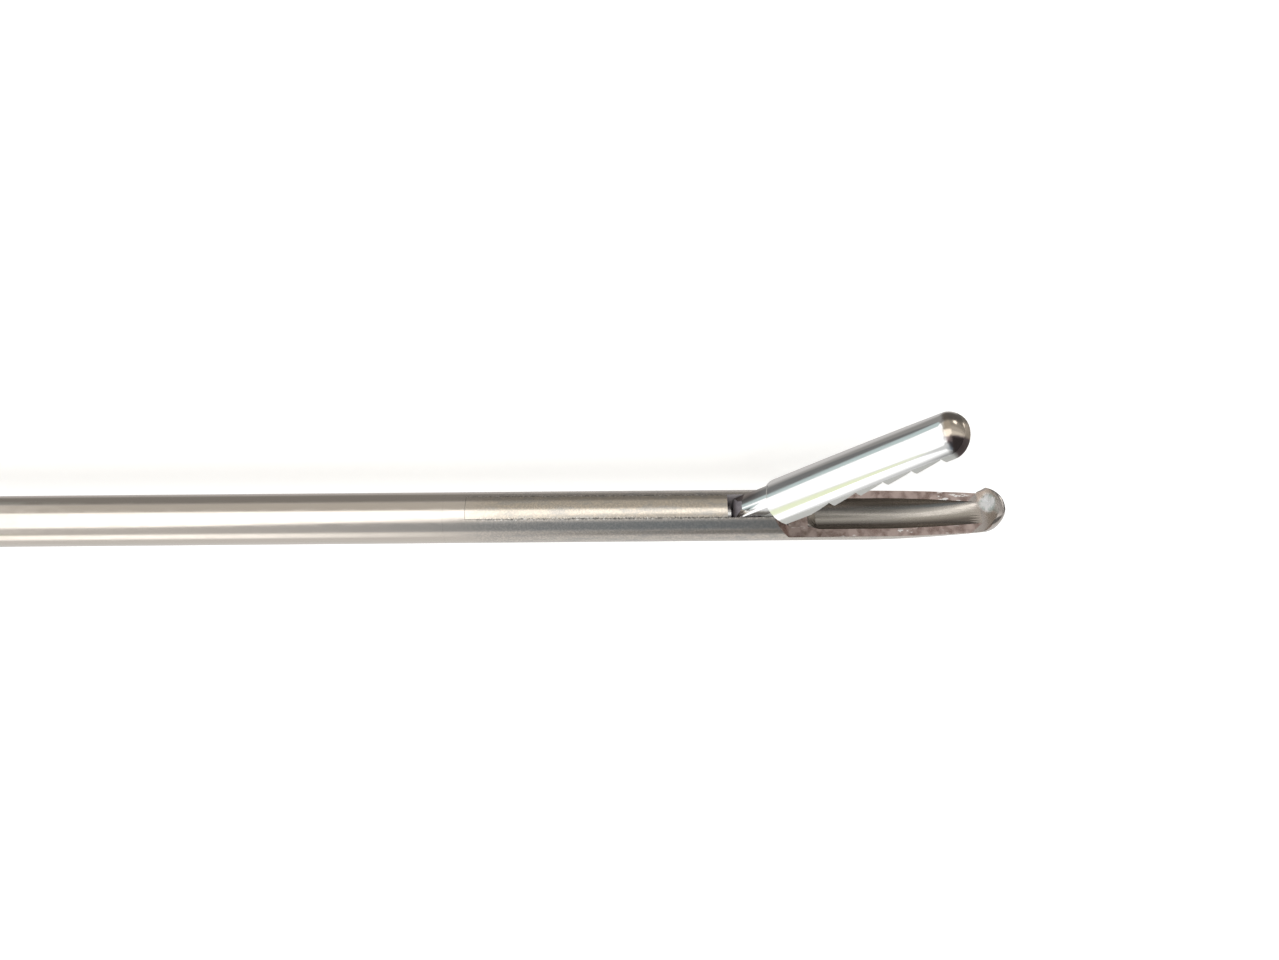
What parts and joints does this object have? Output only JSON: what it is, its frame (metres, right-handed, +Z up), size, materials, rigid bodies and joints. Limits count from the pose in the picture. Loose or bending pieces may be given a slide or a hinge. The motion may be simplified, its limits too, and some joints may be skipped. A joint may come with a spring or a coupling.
{
  "type": "arthroscopic basket punch",
  "caption": "Slim surgical punch: a straight round shaft with a toothed upper jaw that closes on a fixed lower jaw, worked by a scissor handle with finger rings.",
  "frame": {"origin": "on the underside of the handle's head, straight below the point where the shaft's axis crosses the plane of the lever's pivot; the table's surface when the punch lies on its side", "axes": "+X along the shaft towards the jaws, +Y the way the upper jaw opens, +Z up from the table, across the handle"},
  "size_m": [0.1929, 0.106, 0.007],
  "materials": {
    "shaft_steel": "fine drawn stainless",
    "cover_steel": "cross-brushed stainless with a warm heat tint",
    "jaw_steel": "polished stainless",
    "pin_steel": "ground stainless",
    "handle_steel": "satin stainless",
    "bush_bronze": "plain turned bronze",
    "seal_rubber": "matt black rubber"
  },
  "bodies": {
    "frame": {"shaft": "shaft_steel", "lower_jaw": "shaft_steel", "slot_cover": "cover_steel", "jaw_pivot_pin": "pin_steel", "fixed_handle": "handle_steel", "shaft_collar": "handle_steel", "shaft_set_screw": "pin_steel", "rod_guide_bush": "bush_bronze", "rod_seal_ring": "seal_rubber", "lever_washer_upper": "bush_bronze", "lever_washer_lower": "bush_bronze", "handle_pivot_screw": "pin_steel", "pivot_nut": "pin_steel"},
    "thumb": {"thumb_handle": "handle_steel"},
    "rod": {"drive_rod": "pin_steel", "drive_pin": "pin_steel", "rod_barrel": "pin_steel"},
    "jaw": {"upper_jaw": "jaw_steel"}
  },
  "joints": [
    {"name": "thumb_lever", "type": "hinge", "parent": "frame", "child": "thumb", "pos_m": [0, -0.004, 0.0035], "axis": [0, 0, 1], "range_deg": [0, 11.7]},
    {"name": "rod_slide", "type": "slide", "parent": "frame", "child": "rod", "axis": [-1, 0, 0], "range_m": [0, 0.00083]},
    {"name": "jaw_hinge", "type": "hinge", "parent": "frame", "child": "jaw", "pos_m": [0.1268, 0.00026, 0.0035], "axis": [0, 0, -1], "range_deg": [0, 44.6]}
  ],
  "couplings": [
    {"joint": "rod_slide", "follows": "thumb_lever", "m_per_rad": 0.004014},
    {"joint": "jaw_hinge", "follows": "thumb_lever", "ratio": 3.8092}
  ]
}
